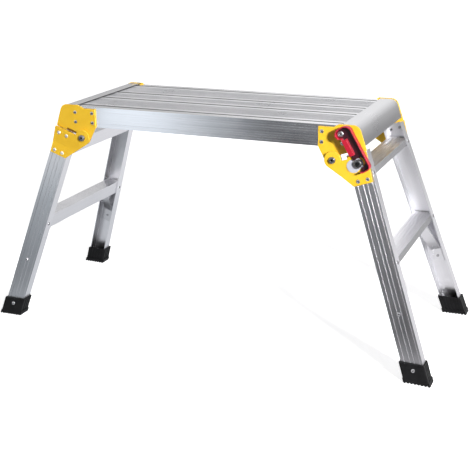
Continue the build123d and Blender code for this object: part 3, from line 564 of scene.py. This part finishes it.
# Painted reflection: the left plates' rivets are a brighter copy of the zinc, the pocket shade lighter too.
lit_rivet_pocket_shade, zinc_painted_lit = (0.50, 0.48, 0.47), (0.96, 0.93, 0.91)
rivet_painted_lit_finish = turned_steel("rivet_zinc_painted_lit", lit_rivet_pocket_shade, zinc_painted_lit, stem_edge, dull=0.30)
leg_sides = (
    ("right", right_front, right_rear, rivet_finish),
    ("left", left_rear, left_front, rivet_painted_lit_finish),
)
for side, latched, plain, plate_finish in leg_sides:
    body = f"{side}_leg"
    both = (latched, plain)
    sets = (
        ("plate_blind", at_corners(plate_seats, both), rivet_profile(plate_grip), plate_finish, "plate"),
        ("plate_upper", mirrored(upper_seats, plain), upper_profile, plate_finish, "plate"),
        ("rung_blind", at_corners(rung_seats, both), rivet_profile(rung_grip), rivet_finish, "rung"),
        ("brace_web", at_corners(web_seats, both), rivet_profile(web_grip), rivet_finish, "brace"),
        ("brace_step", at_corners(strap_seats, both), rivet_profile(strap_grip), rivet_finish, "brace"),
        ("foot_blind", at_corners(foot_seats, both), rivet_profile(foot_grip), rivet_finish, "foot"),
    )
    for kind, seats, profile, finish, held in sets:
        turned_pieces(f"{body}_{kind}_rivets", seats, profile, finish, body, f"{body}_{held}_rivets")

# Leg pivots: black-oiled steel bolts with a drive socket in a rounded head, through both hinge
# plates. A zinc-plated spacer keeps the plates apart and a lock nut sits behind.
# Painted shade: the drive socket is painted near black.
socket_shade, oiled_black = (0.05, 0.05, 0.055), (0.30, 0.30, 0.32)
bolt_finish = turned_steel("pivot_bolt_steel", socket_shade, oiled_black, edge=(2.4, 3.6))
bolt_socket = [(0, 2.6), (2.3, 2.6), (2.5, 2.9), (2.6, 4.9), (2.9, 5.1)]
bolt_head = [(4.7, 5.1), (5.9, 4.6), (6.8, 3.6), (7.2, 2.4), (7.2, 0.1)]
bolt_shank = [(5, 0.1), (5, -18), (0, -18)]
bolt_profile = bolt_socket + bolt_head + bolt_shank
bolt_seats = at_corners([(pivot - [0, leg_plate_face, 0], (0, -1, 0))], leg_corners.values())
turned_pieces(
    "leg_pivot_socket_bolts", bolt_seats, bolt_profile, bolt_finish, "platform", "leg_pivot_bolts", around=40)
dress(fastener_finish, "leg_pivot_spacers", "leg_pivot_nuts")

# Lock pins: polished steel pins with a dished face on the latched corners, riveted over inside the
# leg. The levers hook under them, and each sits on a pale moulded pad.
milky, milky_pale = (0.41, 0.42, 0.47), (0.49, 0.50, 0.56)


def moulded_nylon(name):
    """Natural nylon: milky white with faint flow marks and a dull skin."""
    finish, tree = blank_finish(name)
    place = wire(tree, "ShaderNodeTexCoord", {}).outputs["Object"]
    flow = cloudy(tree, place, scale=120.0, detail=4.0, Distortion=1.0)
    gloss = remap(tree, flow, 0.0, 1.0, 0.42, 0.58)
    relief = raised(tree, flow, strength=0.1, distance=0.0001)
    settle(tree, two_tints(tree, flow, milky, milky_pale), gloss, relief)
    return finish


nylon_finish = moulded_nylon("natural_nylon")
dress(nylon_finish, "right_leg_lock_pad", "left_leg_lock_pad")
# Painted shade: the floor of the pin's dish is painted near black.
pin_dish_shade, pin_steel = (0.05, 0.05, 0.053), (0.22, 0.22, 0.23)
pin_finish = turned_steel("lock_pin_steel", pin_dish_shade, pin_steel, edge=(4.0, 5.4))
pin_along, pin_shank, pin_tail = 0.0195, 5, 7.0
pin_back = web_depth(pin_along) - web_wall / math.cos(flare)
pin_grip = 1000 * (leg_plate_face - pin_back) + pin_tail * math.tan(flare)
pin_dish = [(0, 4.6), (3.4, 4.6), (4.3, 4.9), (4.6, 6.0), (4.8, 6.2)]
pin_head = [(6.8, 6.2), (8.2, 5.5), (9, 4.1), (9, 1.2), (pin_shank, 1.2)]
pin_over, pin_end = -pin_grip - 1.6, -pin_grip - 2.5
pin_rivet = [(pin_shank, -pin_grip), (pin_tail, -pin_grip), (pin_tail, pin_over)]
pin_profile = pin_dish + pin_head + pin_rivet + [(5.6, pin_end), (0, pin_end)]
pin_seat = [(side_spot(leg_middle, pin_along) - [0, leg_plate_face, 0], (0, -1, 0))]
for side, signs in (("right", right_front), ("left", left_rear)):
    body = f"{side}_leg"
    node = f"{body}_lock_pin"
    seats = mirrored(pin_seat, signs)
    turned_pieces(f"{body}_turned_lock_pin", seats, pin_profile, pin_finish, body, node, around=44)

# Latches: pressed steel levers, powder-coated crimson, each hung on a turned stud in the deck's
# hinge plate. The rear one hangs a little lower than the front one.
crimson, deep_crimson, crimson_tray_shade = (0.44, 0.008, 0.028), (0.36, 0.006, 0.020), (0.030, 0.003, 0.008)
red_finish = powder_coat("crimson_powder_coat", crimson, deep_crimson, gloss=0.34)
# Painted shade: the floor of each lever's tray is painted near black crimson.
paint_recess_shade(red_finish, deep=0.1600, shallow=0.1660, colour=crimson_tray_shade)
dress(red_finish, "right_latch_lever", "left_latch_lever")
# Painted shade: the dish of each stud's head is painted dark.
stud_dish_shade, stud_steel = (0.14, 0.14, 0.145), (0.60, 0.60, 0.62)
stud_finish = turned_steel("latch_stud_steel", stud_dish_shade, stud_steel, edge=(1.6, 2.6))
stud_dish = [(0, 2.5), (1.5, 2.5), (1.7, 2.7), (2.0, 3.3), (2.4, 3.5)]
stud_head = [(4.6, 3.5), (5.8, 3.1), (6.5, 2.3), (6.5, 0.1), (4, 0.1)]
stud_shoulder = [(4, -2.1), (6, -2.1), (6, -9.8), (4, -9.8), (4, -15.4), (0, -15.4)]
stud_profile = stud_dish + stud_head + stud_shoulder
stud_along, stud_face, front_stud_height, rear_stud_height = 0.307, 0.1598, 0.490, 0.482
stud_seats = np.concatenate([
    mirrored([((stud_along, -stud_face, front_stud_height), (0, -1, 0))], right_front),
    mirrored([((stud_along, -stud_face, rear_stud_height), (0, -1, 0))], left_rear),
])
turned_pieces(
    "latch_turned_studs", stud_seats, stud_profile, stud_finish, "platform", "latch_studs", around=40)

# Floor: a pale sweep that keeps the soft shadow round the feet and is plain white to the camera.
# Metal sees the white table under the platform, the dim studio floor in front of it and a pale far end.
floor_reach, floor_height = 14.0, -0.0003
floor_corners = [(-1, -1), (1, -1), (1, 1), (-1, 1)]
floor_points = [(x * floor_reach, y * floor_reach, floor_height) for x, y in floor_corners]
floor_mesh = bpy.data.meshes.new("floor")
floor_mesh.from_pydata(floor_points, [], [(0, 1, 2, 3)])
floor = bpy.data.objects.new("floor", floor_mesh)
bpy.context.scene.collection.objects.link(floor)


def mixed(tree, share, first, second):
    """Number between a first and a second one, by a share."""
    return wire(tree, "ShaderNodeMix", {"Factor": share, 2: first, 3: second}).outputs[0]


sweep, tree = blank_finish("pale_sweep")
spot = wire(tree, "ShaderNodeTexCoord", {}).outputs["Object"]
distance = on_vectors(tree, "LENGTH", spot)
rightward, backward = axes(tree, spot)["X"], axes(tree, spot)["Y"]
paint = wire(tree, "ShaderNodeBsdfDiffuse", {"Color": (0.86, 0.86, 0.87, 1)}).outputs[0]
lift = wire(tree, "ShaderNodeEmission", {"Strength": remap(tree, distance, 0.5, 1.5, 0.80, 1.0)}).outputs[0]
seen_floor = wire(tree, "ShaderNodeAddShader", {0: paint, 1: lift}).outputs[0]
bounce = wire(tree, "ShaderNodeBsdfDiffuse", {"Color": (0.24, 0.24, 0.25, 1)}).outputs[0]

# The table grows paler to the right and dims past its right end; a tongue of it reaches forward.
table = remap(tree, rightward, -0.8, 0.3, 0.52, 0.93)
table = reckon(tree, "MULTIPLY", table, remap(tree, backward, 0.42, 0.62, 1.0, 1.1))
table = reckon(tree, "MULTIPLY", table, remap(tree, rightward, 0.26, 0.40, 1.0, 0.84))
tongue = reckon(
    tree, "MULTIPLY", remap(tree, rightward, 0.20, 0.32, 1.0, 0.0), remap(tree, rightward, -0.25, -0.05))
front_line = reckon(tree, "MULTIPLY_ADD", tongue, 0.26, backward)
past_edge = remap(tree, front_line, -0.37, -0.48)

# The floor in front lies in slanting bands, from bright at the left to dark below the camera.
band_slant = -0.488
aside = reckon(tree, "MULTIPLY_ADD", backward, band_slant, rightward)
bands = wire(tree, "ShaderNodeValToRGB", {"Fac": remap(tree, aside, -0.5, 1.5)})
first_band, last_band = bands.color_ramp.elements
first_band.color = (0.38, 0.38, 0.38, 1)
last_band.color = (0.56, 0.56, 0.56, 1)
last_band.position = 0.93
band_places = (0.035, 0.17, 0.235, 0.34, 0.435, 0.56, 0.68)
band_levels = (1.0, 1.0, 0.76, 0.37, 0.14, 0.06, 0.36)
for position, level in zip(band_places, band_levels):
    bands.color_ramp.elements.new(position).color = (level, level, level, 1)
ahead = reckon(tree, "MULTIPLY", bands.outputs[0], remap(tree, backward, -1.0, -2.1, 0.34, 1.14))

# Far off the bands give way to one tone, pale at the left; the whole is a little bluer there.
near = mixed(tree, past_edge, table, ahead)
far_tone = remap(tree, rightward, -3.6, -0.6, 1.05, 0.33)
tone = mixed(tree, remap(tree, distance, 3.4, 7.0), near, far_tone)
tint = two_tints(tree, remap(tree, rightward, -1.0, 0.1), (0.90, 0.97, 1.03), (1.0, 0.99, 1.01))
mirrored_floor = wire(tree, "ShaderNodeEmission", {"Color": tint, "Strength": tone}).outputs[0]
rays = wire(tree, "ShaderNodeLightPath", {}).outputs
glossy_choice = {"Fac": rays["Is Glossy Ray"], 1: bounce, 2: mirrored_floor}
for_metal = wire(tree, "ShaderNodeMixShader", glossy_choice).outputs[0]
camera_choice = {"Fac": rays["Is Camera Ray"], 1: for_metal, 2: seen_floor}
shown = wire(tree, "ShaderNodeMixShader", camera_choice).outputs[0]
tree.links.new(shown, tree.nodes["Material Output"].inputs["Surface"])
floor_mesh.materials.append(sweep)

# Studio: white to the camera. Metal sees a dusky horizon that brightens overhead, duller in
# front, with pale and dark cards set round it, and every other ray a low fill.
low_fill = 0.09
front_card = ((0.20, -0.98, 0.0), 0.70, 0.86, 1.0)
room_cards = (
    ((-0.17, 0.965, 0.20), 0.93, 0.99, 0.42),
    ((-0.67, -0.743, 0.05), 0.92, 0.98, 0.72),
    ((-0.56, 0.828, 0.0), 0.975, 0.995, 0.75),
    ((-0.53, 0.81, 0.25), 0.95, 0.99, -0.30),
)


def card(tree, way, facing, rim, core, level):
    """Round patch about one direction, from nothing at its rim's cosine to a level at its core's."""
    return remap(tree, on_vectors(tree, "DOT_PRODUCT", way, facing), rim, core, 0.0, level)


world = bpy.data.worlds.new("studio")
bpy.context.scene.world = world
world.use_nodes = True
tree = world.node_tree
way = wire(tree, "ShaderNodeTexCoord", {}).outputs["Generated"]
upward = axes(tree, way)["Z"]
sky = remap(tree, upward, 0.06, 0.36, 0.33, 0.95)
dusk = reckon(tree, "MULTIPLY", card(tree, way, *front_card), remap(tree, upward, 0.75, 0.35))
room = reckon(tree, "MULTIPLY", sky, reckon(tree, "MULTIPLY_ADD", dusk, -0.68, 1.0))
for room_card in room_cards:
    room = reckon(tree, "ADD", room, card(tree, way, *room_card))
rays = wire(tree, "ShaderNodeLightPath", {}).outputs
fill = mixed(tree, rays["Is Glossy Ray"], low_fill, room)
strength = mixed(tree, rays["Is Camera Ray"], fill, 1.0)
tree.links.new(strength, tree.nodes["Background"].inputs["Strength"])
tree.nodes["Background"].inputs["Color"].default_value = (1, 1, 1, 1)

# Lamps: a small key light at the right front that draws the shadows, with its shine kept off the
# deck, a broad soft box overhead, and a fill behind for the rear hinge plates.


def softbox(name, place, target, width, watts):
    """Square area lamp that faces a target."""
    lamp = bpy.data.lights.new(name, "AREA")
    lamp.size = width
    lamp.energy = watts
    stand = bpy.data.objects.new(name, lamp)
    aim = (Vector(target) - Vector(place)).to_track_quat("-Z", "Y")
    stand.matrix_world = Matrix.Translation(place) @ aim.to_matrix().to_4x4()
    bpy.context.scene.collection.objects.link(stand)
    return stand


def keep_off(stand, name, pieces):
    """Keeps a lamp's light off some pieces."""
    left_out = bpy.data.collections.new(name)
    for piece in pieces:
        left_out.objects.link(piece)
    for member in left_out.collection_objects:
        member.light_linking.link_state = "EXCLUDE"
    stand.light_linking.receiver_collection = left_out


key_spot = {"place": (2.36, -1.96, 1.55), "target": (0.1, 0, 0.40), "width": 0.34, "watts": 190.0}
key_light = softbox("key_light", **key_spot)
key_light.visible_glossy = False
key_shine = softbox("key_shine", **key_spot)
key_shine.visible_diffuse = False
planks = [f"deck_plank_{end}" for end in ("front", "middle", "rear")]
nosings = [f"end_nosing_{side}" for side in ("right", "left")]
keep_off(key_shine, "out_of_the_shine", [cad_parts[name] for name in planks + nosings])
back_fill = softbox("back_fill", place=(-1.6, 2.2, 1.0), target=(0, 0, 0.35), width=1.2, watts=60.0)
back_fill.visible_glossy = False
keep_off(back_fill, "out_of_the_fill", [floor])
top_light = softbox("top_light", place=(-0.5, 0.5, 2.8), target=(0, 0, 0.4), width=2.2, watts=10.0)
top_light.visible_glossy = False

# Camera: standing at the right front, a little above the deck, with a long lens. Its focal length
# is known in pixels of the square photograph, and it leans over by about one degree.
azimuth, tilt, roll = math.radians(23.56), math.radians(18.83), math.radians(-0.91)
camera_place = (0.84906, -1.92829, 0.91124)
focal_pixels, photo_pixels, sensor_width = 956.65, 470, 36.0
behind = Vector((math.sin(azimuth) * math.cos(tilt), -math.cos(azimuth) * math.cos(tilt), math.sin(tilt)))
level = Vector((math.cos(azimuth), math.sin(azimuth), 0))
rise = behind.cross(level)
right_hand = level * math.cos(roll) + rise * math.sin(roll)
overhead = rise * math.cos(roll) - level * math.sin(roll)
lens = bpy.data.cameras.new("camera")
lens.sensor_width = sensor_width
lens.lens = focal_pixels / photo_pixels * sensor_width
lens.clip_end = 60
camera = bpy.data.objects.new("camera", lens)
attitude = Matrix((right_hand, overhead, behind)).transposed().to_4x4()
camera.matrix_world = Matrix.Translation(camera_place) @ attitude
bpy.context.scene.collection.objects.link(camera)
bpy.context.scene.camera = camera
bpy.context.scene.view_settings.view_transform = "Standard"
